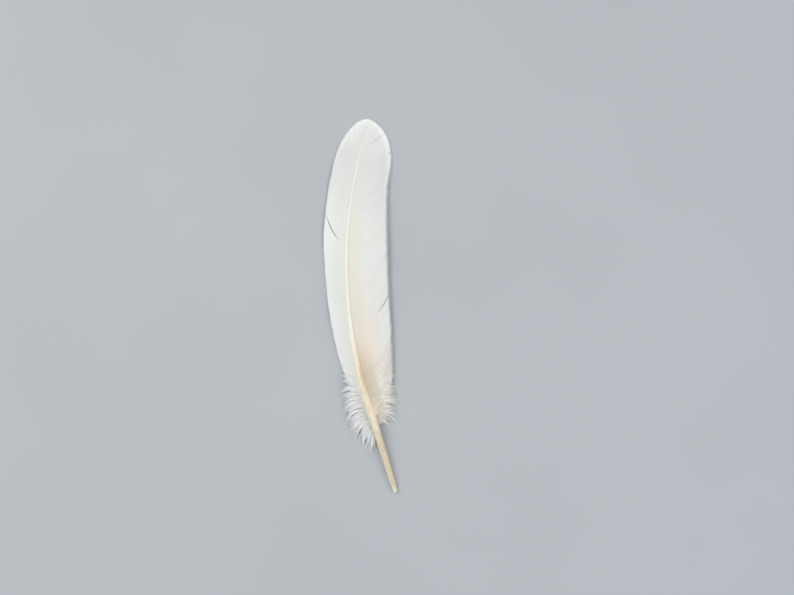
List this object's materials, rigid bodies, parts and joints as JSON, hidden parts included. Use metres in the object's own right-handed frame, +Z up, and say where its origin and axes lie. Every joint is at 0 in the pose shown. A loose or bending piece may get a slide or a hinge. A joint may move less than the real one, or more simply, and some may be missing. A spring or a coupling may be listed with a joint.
{
  "type": "goose quill feather",
  "caption": "White goose flight feather with a pale bowed quill, a narrow and a broad combed vane, and loose down at its foot, lying flat.",
  "frame": {"origin": "on the surface that the feather lies on, under the middle of its box", "axes": "+Y from the quill to the tip, +X to the side of the broad inner vane, +Z up out of the feather's upper side"},
  "size_m": [0.0594, 0.2962, 0.0145],
  "materials": {
    "vane": "matte white keratin barbs, combed flat",
    "down": "soft matte white down",
    "shaft": "satin cream horn"
  },
  "bodies": {
    "root": {"feather": "vane"}
  },
  "joints": []
}
